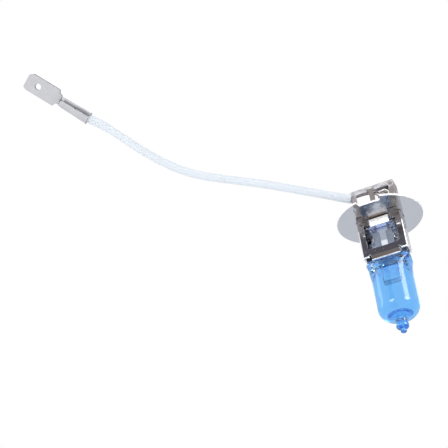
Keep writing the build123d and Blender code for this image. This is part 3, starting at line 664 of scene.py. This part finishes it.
def outer_rows():
    ys = np.concatenate([np.linspace(PINCH_END, 11.4, 66), np.linspace(11.5, 16.4, 60),
                         np.linspace(16.6, DOME_Y, 40)])
    half_x, half_z, power = stations(ys, OUTER_SECTIONS)
    notch = NOTCH_X - np.sqrt(np.clip(NOTCH_R ** 2 - (ys - NOTCH_Y) ** 2, 0, None))
    half_x = np.where(np.abs(ys - NOTCH_Y) < NOTCH_R, np.minimum(half_x, notch), half_x)

    rows = []
    for k in (0.0, 0.35, 0.7, 0.9):
        inset = END_ROUND * (1 - math.sqrt(1 - (1 - k) ** 2))
        rows.append(section(PINCH_END + 0.30 * k, half_x[0] - inset, half_z[0] - inset, 6.0))
    radial = np.stack([RING_COS, np.zeros(RING_POINTS), RING_SIN], 1)
    for i, y in enumerate(ys):
        if y <= PINCH_END + 0.30:
            continue
        row = section(y, half_x[i], half_z[i], power[i])
        if y < BEAD_END:
            # sink the faces between the thicker beads of the two long edges
            bead = smoothstep((np.abs(row[:, 0]) - (half_x[i] - 0.80)) / 0.40)
            row[:, 2] -= np.sign(row[:, 2]) * (1 - bead) * 0.12 * min(1.0, (BEAD_END - y) / 0.8)
        if PRESS_START < y < PRESS_END:
            share = math.sin(math.pi * (y - PRESS_START) / (PRESS_END - PRESS_START)) ** 2
            lump = sum(height * np.sin(waves * RING_ANGLES + drift * y + phase)
                       for height, waves, drift, phase in LUMPS)
            row += radial * (share * (0.8 * lump - 0.12))[:, None]
        rows.append(row)
    for angle in np.radians(np.linspace(0, 75.5, 30)[1:]):
        radius = TUBE_R * math.cos(angle) ** 0.84
        rows.append(section(DOME_Y + 3.42 * math.sin(angle) ** 1.06, radius, radius))
    for k, (radius, y) in enumerate(TIP_PROFILE):
        row = section(y, radius, radius * 0.96)
        # the tip was drawn off by hand, so it wanders about the axis
        row[:, 0] += 0.06 * math.sin(k * 0.9)
        row[:, 2] += 0.05 * math.cos(k * 0.7)
        rows.append(row)
    return np.array(rows)


def bore_rows():
    ys = np.concatenate([[12.5, 12.58], np.linspace(12.7, 16.8, 26)])
    rows = [section(*station) for station in zip(ys, *stations(ys, BORE_SECTIONS))]
    rows += [section(y, BORE_R, BORE_R) for y in np.linspace(17.4, BORE_DOME_Y, 22)]
    for angle in np.radians(np.linspace(3.5, 50, 16)):
        radius = BORE_R * math.cos(angle) ** 0.88
        rows.append(section(BORE_DOME_Y + 2.95 * math.sin(angle), radius, radius))
    rows += [section(y, radius, radius) for y, radius in BORE_NECK]
    return np.array(rows)


def cap_faces(center, base, flip):
    """Triangles from a centre vertex to the ring that starts at base."""
    faces = []
    for j in range(RING_POINTS):
        here, after = base + j, base + (j + 1) % RING_POINTS
        faces.append((center, after, here) if flip else (center, here, after))
    return faces


def envelope():
    outer, bore = outer_rows(), bore_rows()
    for rows in (outer, bore):
        rows[:, :, 1] *= -1
    verts = np.vstack([outer.reshape(-1, 3), outer[0].mean(0),
                       outer[-1].mean(0) - vec(0, 0.022, 0)])
    first = outer.size // 3
    faces = grid_faces(len(outer), RING_POINTS)
    faces += cap_faces(first, 0, flip=True)
    faces += cap_faces(first + 1, first - RING_POINTS, flip=False)
    outer_count = len(faces)

    # the cavity is a closed surface whose normals point into it
    start = len(verts)
    verts = np.vstack([verts, bore.reshape(-1, 3), vec(0, -12.46, 0), vec(0, -30.66, 0)])
    faces += grid_faces(len(bore), RING_POINTS, base=start, flip=True)
    end = len(verts) - 2
    faces += cap_faces(end, start, flip=False)
    faces += cap_faces(end + 1, end - RING_POINTS, flip=True)
    face_mat = [0] * outer_count + [1] * (len(faces) - outer_count)
    obj = add_mesh("quartz_envelope", verts, faces, [GLASS_OUT, GLASS_IN], face_mat)
    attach(obj, "bulb")
    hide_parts("glass_envelope")


envelope()


# ---------------------------------------------------------------------------
# filament: fine coil across the axis, with a straight tail at each end
# ---------------------------------------------------------------------------
def filament():
    coil_r, wire_r, half_length, turns = 0.52, 0.050, 2.20, 21.0
    tail_x, tail_z, tail_bend, tail_end = 2.33, -0.04, 0.55, 1.9
    part = np.linspace(-1, 1, 900)
    x = half_length * part + 0.02 * np.sin(9 * part)
    phase = math.pi * turns * part
    radius = coil_r * (1 - 0.10 * np.abs(part) ** 12)
    sag = 0.03 * (1 - part * part)
    coil = np.stack([x, COIL_Y + radius * np.cos(phase) - sag, radius * np.sin(phase)], 1)
    tails = []
    for side, end in ((-1, coil[0]), (1, coil[-1])):
        foot = vec(side * tail_x, COIL_Y + tail_bend, tail_z)
        top = vec(side * tail_x, COIL_Y + tail_end, tail_z)
        corner = vec(side * tail_x, end[1], end[2])
        k = np.linspace(0, 1, 24)[:, None]
        arc = (1 - k) ** 2 * end + 2 * k * (1 - k) * corner + k * k * foot
        tails.append(np.vstack([arc, np.linspace(foot, top, 12)[1:]]))
    line = np.vstack([tails[0][::-1], coil[1:-1], tails[1]])

    tangents = line_tangents(line)
    start = unit(np.cross(tangents[0], vec(0.3, 0.5, 1)))
    normals, binormals = carried_frames(tangents, start)
    sides = 8
    cos, sin = (part[None, :, None] for part in circle(sides))
    verts = line[:, None] + wire_r * (cos * normals[:, None] + sin * binormals[:, None])
    faces = grid_faces(len(line), sides)
    last = (len(line) - 1) * sides
    faces += [tuple(range(sides))[::-1], tuple(range(last, last + sides))]
    obj = add_mesh("filament_fine_coil", verts.reshape(-1, 3), faces, [COIL])
    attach(obj, "bulb")
    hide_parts("filament_coil")


filament()

# ---------------------------------------------------------------------------
# lead path, ending along the terminal's axis
# ---------------------------------------------------------------------------
TERMINAL_ORIGIN = vec(-63.818, 38.102, 30.617)
TERMINAL_ALONG = unit((-0.63290, 0.56089, 0.53370))
TERMINAL_NORMAL = unit(np.cross(unit((0.77336, 0.49058, 0.40155)), TERMINAL_ALONG))
TERMINAL_ACROSS = np.cross(TERMINAL_ALONG, TERMINAL_NORMAL)

# points on the lead's centre line, from the holder outwards
LEAD_POINTS = [
    (-5.93, 8.24, 0.88), (-6.55, 8.43, 1.07), (-11.74, 10.16, 3.42), (-16.91, 12.05, 5.67),
    (-22.09, 13.98, 7.87), (-27.33, 15.86, 9.98), (-32.65, 17.61, 11.98), (-37.97, 19.38, 13.98),
    (-43.08, 21.51, 16.16), (-47.72, 24.27, 18.66), (-51.85, 27.54, 21.42),
    (-55.66, 31.07, 24.33), (-59.33, 34.66, 27.34), (-61.55, 36.55, 29.0)]
LEAD_POINTS += [tuple(TERMINAL_ORIGIN + TERMINAL_ALONG * run) for run in (0.15, 1.6, 3.2, 4.45)]

path, path_run = cubic_curve(LEAD_POINTS, 1500)
path_tangents = line_tangents(path)
path_up = vec(0, 0, 1)
path_normals, path_binormals = carried_frames(
    path_tangents, unit(path_up - path_tangents[0] * (path_up @ path_tangents[0])))
PATH_END = path_run[-1]


def along_path(run, values=path):
    """Path points, or other per-point vectors, at the given arc lengths."""
    return np.stack([np.interp(run, path_run, values[:, k]) for k in range(3)], -1)


def path_frame(run):
    """Unit normals and binormals of the path at the given arc lengths."""
    pair = (along_path(run, values) for values in (path_normals, path_binormals))
    return [part / np.linalg.norm(part, axis=-1, keepdims=True) for part in pair]


def run_near(point):
    return float(path_run[np.argmin(np.linalg.norm(path - point, axis=1))])


def joint_run(name):
    joint = joints[name]
    # a joint may name its place in any of three ways
    place = joint.get("pos_m") or joint.get("anchor_m") or joint.get("point_m")
    return run_near(np.array(place, float) / MM)


# ---------------------------------------------------------------------------
# braided glass-fibre sleeve, laid as real yarns over a thin liner
# ---------------------------------------------------------------------------
YARNS_EACH_WAY = 8
LAY = 10.0              # run of one full turn of a yarn
YARN_WIDTH, YARN_THICKNESS = 0.70, 0.19
YARN_SIDES, LINER_SIDES = 8, 28
YARN_ANGLE = math.atan2(2 * math.pi * 0.95, LAY)
CRIMP = run_near(TERMINAL_ORIGIN)

# mid radius of the braid: run along the lead, radius; squeezed inside the crimp
SLEEVE_RADII = np.array([
    (0, 1.10), (0.5, 1.10), (2.2, 1.02), (5.0, 0.94), (CRIMP - 7.0, 0.94), (CRIMP - 2.2, 1.04),
    (CRIMP - 0.5, 1.02), (CRIMP + 0.5, 0.80), (CRIMP + 2.8, 0.78), (CRIMP + 3.6, 0.74),
    (PATH_END, 0.66)])

# name, bones either side of the joint, joint, blend reach, CAD pieces it replaces
SLEEVE_RUNS = [
    ("sleeve_root_run", ("bulb", "lead_1"), "lead_root_swing", 1.7,
     ["lead_sleeve_root", "lead_sleeve_1"]),
    ("sleeve_inner_run", ("lead_1", "lead_2"), "lead_inner_bend", 4.0, ["lead_sleeve_2"]),
    ("sleeve_outer_run", ("lead_2", "lead_3"), "lead_outer_swing", 4.0, ["lead_sleeve_3"]),
    ("sleeve_end_run", ("lead_3", "lead_end"), "terminal_bend", 2.0, ["lead_sleeve_4"]),
]


def sleeve_radius(run):
    return np.interp(run, SLEEVE_RADII[:, 0], SLEEVE_RADII[:, 1])


def yarn(start, end, turn, index):
    """Vertex grid and UVs of one flat yarn; turn is +1 or -1 for its winding direction."""
    cos, sin = circle(YARN_SIDES)
    run = np.linspace(start, end, int(round((end - start) / 0.17)) + 1)
    seed = 1.7 * index + (0.6 if turn > 0 else 2.9)
    angle = turn * 2 * math.pi * run / LAY + 2 * math.pi * index / YARNS_EACH_WAY
    angle = angle + 0.05 * np.sin(run * 0.9 + seed)
    half_width = YARN_WIDTH * 0.5 * (1 + 0.10 * np.sin(run * 1.7 + 2 * seed))
    half_thick = YARN_THICKNESS * 0.5 * (1 + 0.08 * np.sin(run * 2.3 + seed))
    across = cos[None, :] * half_width[:, None]
    out = sin[None, :] * half_thick[:, None]
    place = run[:, None] - turn * across * math.sin(YARN_ANGLE)
    middle = sleeve_radius(run)[:, None]
    angle = angle[:, None] + across * math.cos(YARN_ANGLE) / middle
    # over and under the yarns wound the other way, edges drooping
    weave = turn * np.cos(YARNS_EACH_WAY * angle) * 0.085
    radius = middle + weave + out - 0.22 * across ** 2 / (YARN_WIDTH * 0.5)
    radius = radius + 0.012 * np.sin(9.0 * place + 3 * seed)
    place = np.clip(place, 0.0, PATH_END)
    normal, binormal = path_frame(place)
    outward = np.cos(angle)[..., None] * normal + np.sin(angle)[..., None] * binormal
    points = along_path(place) + radius[..., None] * outward
    # u runs along the yarn in millimetres, v goes across it; offsets keep yarns different
    u = run[:, None] / math.cos(YARN_ANGLE) + 7.0 * index + (50 if turn > 0 else 0)
    width_part = np.linspace(0, 1, YARN_SIDES, endpoint=False)[None, :]
    v = np.abs(width_part - 0.5) * 2 + 0.37 * index
    return points, np.stack(np.broadcast_arrays(u, v), -1)


def liner(start, end, offset):
    """Vertex grid and UVs of a plain tube at an offset from the braid's mid radius."""
    run = np.linspace(start, end, int((end - start) / 0.35) + 2)[:, None]
    angle = np.linspace(0, 2 * math.pi, LINER_SIDES, endpoint=False)[None, :]
    normal, binormal = path_frame(run)
    outward = np.cos(angle)[..., None] * normal + np.sin(angle)[..., None] * binormal
    points = along_path(run) + (sleeve_radius(run) + offset)[..., None] * outward
    return points, np.stack(np.broadcast_arrays(run, angle / 6), -1)


def sleeve_piece(name, start, end, replaced):
    verts, faces, uvs = [], [], []

    def keep(points, uv, flip):
        base = sum(len(part) for part in verts)
        verts.append(points.reshape(-1, 3))
        uvs.append(uv.reshape(-1, 2))
        faces.extend(grid_faces(*points.shape[:2], base=base, flip=flip))
        return base

    for turn in (1, -1):
        for index in range(YARNS_EACH_WAY):
            points, uv = yarn(start, end, turn, index)
            base = keep(points, uv, flip=turn < 0)
            last = base + (len(points) - 1) * YARN_SIDES
            faces += [tuple(range(base, base + YARN_SIDES))[::-turn],
                      tuple(range(last, last + YARN_SIDES))[::turn]]
    yarn_faces = len(faces)
    for offset, flip in ((-0.10, False), (-0.22, True)):
        keep(*liner(start, end, offset), flip=flip)
    obj = add_mesh(name, np.vstack(verts), faces, [BRAID, LINER],
                   face_mat=[0] * yarn_faces + [1] * (len(faces) - yarn_faces),
                   uv=np.vstack(uvs))
    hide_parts(*replaced)
    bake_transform(obj)


def sleeve():
    """One piece per joint, cut halfway between neighbouring joints."""
    pivots = [joint_run(joint) for _, _, joint, _, _ in SLEEVE_RUNS]
    cuts = [0.0] + [0.5 * (pivots[i] + pivots[i + 1]) for i in range(3)] + [PATH_END]
    for i, (name, bones, _, reach, replaced) in enumerate(SLEEVE_RUNS):
        sleeve_piece(name, cuts[i], cuts[i + 1], replaced)


sleeve()

# ---------------------------------------------------------------------------
# blade terminal: flat tab and a necked strip rolled into the conductor and sleeve grips
# Its coordinates are along, across and normal to the tab, from TERMINAL_ORIGIN.
# ---------------------------------------------------------------------------
TAB_TOP, TAB_LOW = -0.52, -1.32
NECK_HALF_WIDTH = 1.24
HOLE_X, HOLE_R = 16.2, 0.85
STRIP_THICKNESS = 0.34

# mid radius of the rolled strip: along, radius
STRIP_RADII = [(0.25, 1.46), (0.7, 1.38), (2.9, 1.38), (3.5, 1.32), (4.5, 1.30), (5.0, 1.28),
               (7.7, 1.24), (8.6, 1.14), (10.2, 1.2)]
# wrap in degrees from the underside: along, wing at -across, wing at +across
STRIP_WRAP = [
    (0.25, 196, 122), (0.5, 208, 138), (2.9, 208, 138), (3.5, 204, 132), (4.4, 204, 132),
    (4.9, 210, 140), (8.6, 206, 136), (9.05, 150, 116), (9.4, 84, 74), (9.8, 52, 52),
    (10.2, 50, 50)]


def on_terminal(points):
    """Terminal coordinates to millimetres in the CAD frame."""
    points = np.asarray(points, float)
    return (TERMINAL_ORIGIN + points[:, :1] * TERMINAL_ALONG
            + points[:, 1:2] * TERMINAL_ACROSS + points[:, 2:3] * TERMINAL_NORMAL)


def arc(x, y, radius, start, end, count):
    """Points on an arc about (x, y), angles in degrees."""
    return [(x + radius * math.cos(angle), y + radius * math.sin(angle))
            for angle in np.radians(np.linspace(start, end, count))]


def tab_outline():
    """Tab outline (along, across), from the neck round the free end and back."""
    return [(9.35, -NECK_HALF_WIDTH), (9.9, -1.38), (10.25, -1.60), (10.42, -1.95),
            (10.55, -2.32),
            *arc(10.75, -2.22, radius=0.18, start=225, end=270, count=4),
            *arc(18.80, -1.95, radius=0.45, start=270, end=300, count=5),
            *arc(19.35, -1.72, radius=0.40, start=306, end=360, count=6),
            *arc(19.42, 1.45, radius=0.33, start=0, end=50, count=5),
            *arc(18.55, 2.0, radius=0.40, start=58, end=90, count=5),
            *arc(10.75, 2.22, radius=0.18, start=90, end=150, count=4),
            (10.50, 2.05), (10.38, 1.75), (10.05, 1.48), (9.35, NECK_HALF_WIDTH)]


def blade_tab():
    hole = arc(HOLE_X, 0, HOLE_R, start=0, end=360, count=33)[:-1]
    work = bmesh.new()
    edges = []
    for outline in (tab_outline(), hole):
        ring = [work.verts.new((x, y, TAB_TOP)) for x, y in outline]
        edges += [work.edges.new((ring[i], ring[(i + 1) % len(ring)])) for i in range(len(ring))]
    bmesh.ops.triangle_fill(work, use_beauty=True, use_dissolve=False, edges=edges)
    for face in work.faces:
        if face.normal.z < 0:
            face.normal_flip()

    def from_hole(point):
        return math.hypot(point.x - HOLE_X, point.y)

    # drop any fill that lies inside the hole
    plug = [face for face in work.faces if from_hole(face.calc_center_median()) < 0.5
            and all(abs(from_hole(vert.co) - HOLE_R) < 1e-3 for vert in face.verts)]
    bmesh.ops.delete(work, geom=plug, context="FACES_ONLY")
    lower = bmesh.ops.extrude_face_region(work, geom=list(work.faces))
    for part in lower["geom"]:
        if isinstance(part, bmesh.types.BMVert):
            part.co.z = TAB_LOW
    bmesh.ops.recalc_face_normals(work, faces=list(work.faces))
    work.verts.index_update()
    verts = on_terminal([tuple(vert.co) for vert in work.verts])
    faces = [tuple(vert.index for vert in face.verts) for face in work.faces]
    work.free()
    tab = add_mesh("blade_tab", verts, faces, [TIN, TIN_PAINTED_SHADE], smooth=False)
    # the tab's side faces get the darker material: painted shade
    for polygon in tab.data.polygons:
        if abs(np.array(polygon.normal) @ TERMINAL_NORMAL) < 0.5:
            polygon.material_index = 1
    bevel = tab.modifiers.new("bevel", "BEVEL")
    bevel.width = 0.07 * MM
    bevel.segments = 2
    bevel.limit_method = "ANGLE"
    bevel.angle_limit = math.radians(35)
    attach(tab, "lead_end")
    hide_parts("blade_terminal")


def crimp_strip():
    xs = np.linspace(0.25, 10.2, 118)
    cols = 61
    width_part = np.linspace(-1, 1, cols)
    mid_radius, = stations(xs, STRIP_RADII)
    low_wrap, high_wrap = stations(xs, STRIP_WRAP)
    flatness = smoothstep((xs - 8.7) / 1.2)
    shells = []
    for side in (1, -1):
        points = np.zeros((len(xs), cols, 3))
        for i, x in enumerate(xs):
            wrap = np.where(width_part < 0, low_wrap[i], high_wrap[i])
            angle = np.radians(width_part * wrap)
            # the -across wing laps over the +across one; both curl in at their ends
            turn = np.abs(angle)
            curl = np.where(
                width_part > 0,
                np.clip((turn - math.radians(96)) / math.radians(44), 0, 1) ** 1.6
                * np.interp(x, [3.4, 4.8], [0.14, 0.50]),
                np.clip((turn - math.radians(165)) / math.radians(45), 0, 1) ** 2 * 0.14)
            bell = 0.10 * max(0.0, (0.75 - x) / 0.5)
            ripple = 0.018 * math.sin(5.0 * x) * width_part ** 2
            radius = mid_radius[i] + side * STRIP_THICKNESS / 2 - curl + bell + ripple
            # the roll opens out flat into the neck
            flat, flat_z = flatness[i], (TAB_TOP + TAB_LOW) / 2 + side * 0.38
            y = np.sin(angle) * radius * (1 - flat) + width_part * NECK_HALF_WIDTH * flat
            z = -np.cos(angle) * radius * (1 - flat) + flat_z * flat
            points[i] = np.stack([np.full(cols, x), y, np.maximum(z, TAB_LOW - 0.02)], 1)
        shells.append(points.reshape(-1, 3))

    rows = len(xs)
    shell = rows * cols

    def wall(first, second, flip):
        face = (first, second, second + shell, first + shell)
        return face[::-1] if flip else face

    faces = grid_faces(rows, cols, closed=False)
    faces += grid_faces(rows, cols, closed=False, base=shell, flip=True)
    faces += [wall(i * cols + j, (i + 1) * cols + j, flip)
              for i in range(rows - 1) for j, flip in ((0, True), (cols - 1, False))]
    faces += [wall(i * cols + j, i * cols + j + 1, flip)
              for j in range(cols - 1) for i, flip in ((0, False), (rows - 1, True))]
    # the pressed-in +across wing lies in the shade of the seam
    shade_painted = []
    for face in faces:
        i, j = divmod(face[0] % shell, cols)
        deep = width_part[j] > 0 and width_part[j] * high_wrap[i] > 113
        shade_painted.append(1 if deep and 0.3 < xs[i] < 8.0 else 0)
    strip = add_mesh("crimp_strip", on_terminal(np.vstack(shells)), faces, [TIN, TIN_PAINTED_SHADE],
                     face_mat=shade_painted)
    work = bmesh.new()
    work.from_mesh(strip.data)
    bmesh.ops.recalc_face_normals(work, faces=list(work.faces))
    work.to_mesh(strip.data)
    work.free()
    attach(strip, "lead_end")


def conductor_brush():
    """Tinned strands fanning out past the conductor grip: one, six and twelve in rings."""
    rng = np.random.default_rng(20)
    strand_r, sides, rows = 0.092, 6, 6
    strands = [(0.0, 0.0)]
    for ring_r, count in ((0.20, 6), (0.40, 12)):
        strands += [(ring_r, 2 * math.pi * k / count) for k in range(count)]
    cos, sin = circle(sides)
    verts, faces = [], []
    for ring_r, start in strands:
        end = 8.15 + 0.2 * rng.random()
        base = len(verts)
        for i, x in enumerate(np.linspace(7.4, end, rows)):
            radius = ring_r * (1 + 0.25 * (i / 5) ** 2)
            angle = start + 0.3 * i
            y, z = radius * math.cos(angle), radius * math.sin(angle) - 0.02 * i
            verts += [(x, y + strand_r * cos[k], z + strand_r * sin[k]) for k in range(sides)]
        faces += grid_faces(rows, sides, base=base)
        faces.append(tuple(range(base + (rows - 1) * sides, base + rows * sides)))
    brush = add_mesh("conductor_brush", on_terminal(verts), faces, [COPPER])
    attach(brush, "lead_end")


blade_tab()
crimp_strip()
conductor_brush()

# ---------------------------------------------------------------------------
# floor, studio and camera (metres)
# ---------------------------------------------------------------------------
FLOOR_GAP, FLOOR_HALF = 0.00008, 3.0

# what reflections see, painted in order: direction, inner and outer degrees, color
STUDIO_LOBES = [
    ((-0.25, -0.62, 0.74), 8, 30, (0.50, 0.46, 0.45)),
    ((-0.27, 0.82, 0.50), 9, 22, (0.27, 0.225, 0.19)),
    ((-0.20, 0.57, 0.80), 8, 15, (0.115, 0.11, 0.135)),
    ((0.84, 0.46, 0.32), 6, 15, (8.0, 8.1, 8.3)),
    ((0.88, 0.20, 0.43), 11, 18, (12.0, 12.0, 12.2)),
    ((-0.86, 0.49, 0.06), 3, 20, (2.6, 2.7, 2.9)),
    ((-0.30, 0.19, 0.93), 11, 14, (8.0, 8.2, 8.4)),
]


def floor():
    z = float(cad_lo[2]) - FLOOR_GAP
    corners = [(x * FLOOR_HALF, y * FLOOR_HALF, z) for x, y in ((-1, -1), (1, -1), (1, 1), (-1, 1))]
    mesh = bpy.data.meshes.new("studio_floor")
    mesh.from_pydata(corners, [], [(0, 1, 2, 3)])
    obj = bpy.data.objects.new("studio_floor", mesh)
    bpy.context.scene.collection.objects.link(obj)
    # glowing white, a little darker to reflections and to diffuse rays
    mat = Mat("floor_white")
    light_path = mat.node("LightPath")
    color = mat.mix(mat.mirror_ray(light_path), under=(1.0, 1.0, 1.0), over=(0.74, 0.76, 0.80))
    color = mat.mix(light_path["Is Diffuse Ray"], color, over=(0.80, 0.81, 0.84))
    mesh.materials.append(mat.finish(mat.node("Emission", {"Color": color, "Strength": 1.0})[0]))


def studio_world():
    """White to the camera; reflections see the lobes, diffuse rays a soft gradient."""
    world = bpy.data.worlds.new("studio")
    bpy.context.scene.world = world
    world.use_nodes = True
    sky = Graph(world.node_tree)
    generated = sky.node("TexCoord")["Generated"]
    toward = sky.node("VectorMath", {0: generated}, operation="NORMALIZE")["Vector"]
    up = sky.span(sky.split(toward)[2], over=(-0.2, 0.9))
    seen = sky.mix(up, under=(0.80, 0.80, 0.82), over=(1.0, 1.0, 1.0))
    for direction, inner, outer, color in STUDIO_LOBES:
        closeness = sky.node("VectorMath", {0: toward, 1: tuple(unit(direction))},
                             operation="DOT_PRODUCT")["Value"]
        limits = [math.cos(math.radians(angle)) for angle in (outer, inner)]
        seen = sky.mix(sky.fade(closeness, over=limits), seen, color)
    light_path = sky.node("LightPath")
    soft = sky.mix(up, under=(0.86, 0.88, 0.91), over=(1.02, 1.02, 1.02))
    color = sky.mix(sky.mirror_ray(light_path), under=(1.0, 1.0, 1.0), over=seen)
    color = sky.mix(light_path["Is Diffuse Ray"], color, soft)
    sky.node("OutputWorld", {"Surface": sky.node("Background", {"Color": color})[0]})


def soft_key():
    """One broad soft lamp above the -X side, so forms get a light and a shade side."""
    lamp = bpy.data.lights.new("soft_key", "AREA")
    lamp.shape = "RECTANGLE"
    lamp.size = 0.9
    lamp.size_y = 0.7
    lamp.energy = 1.6
    obj = bpy.data.objects.new("soft_key", lamp)
    bpy.context.scene.collection.objects.link(obj)
    place, target = Vector((-0.35, -0.15, 0.95)), Vector((-0.02, 0.0, 0.0))
    obj.location = place
    obj.rotation_mode = "QUATERNION"
    obj.rotation_quaternion = (target - place).to_track_quat("-Z", "Y")
    obj.visible_glossy = False
    obj.visible_camera = False
    obj.visible_transmission = False


def camera():
    lens = bpy.data.cameras.new("camera")
    lens.lens = 111.416
    lens.sensor_width = 36.0
    lens.sensor_height = 36.0
    lens.clip_start = 0.01
    lens.clip_end = 10.0
    obj = bpy.data.objects.new("camera", lens)
    bpy.context.scene.collection.objects.link(obj)
    right = (0.914299, -0.117025, -0.387766)
    up = (0.304319, 0.830255, 0.466976)
    back = (0.267297, -0.544960, 0.794714)
    obj.rotation_mode = "QUATERNION"
    obj.rotation_quaternion = Matrix((right, up, back)).transposed().to_quaternion()
    obj.location = (0.05720411, -0.18696656, 0.29296088)
    bpy.context.scene.camera = obj


floor()
studio_world()
soft_key()
camera()
scene = bpy.context.scene
scene.view_settings.view_transform = "Standard"
scene.cycles.max_bounces = 16
scene.cycles.transmission_bounces = 14
scene.cycles.transparent_max_bounces = 16
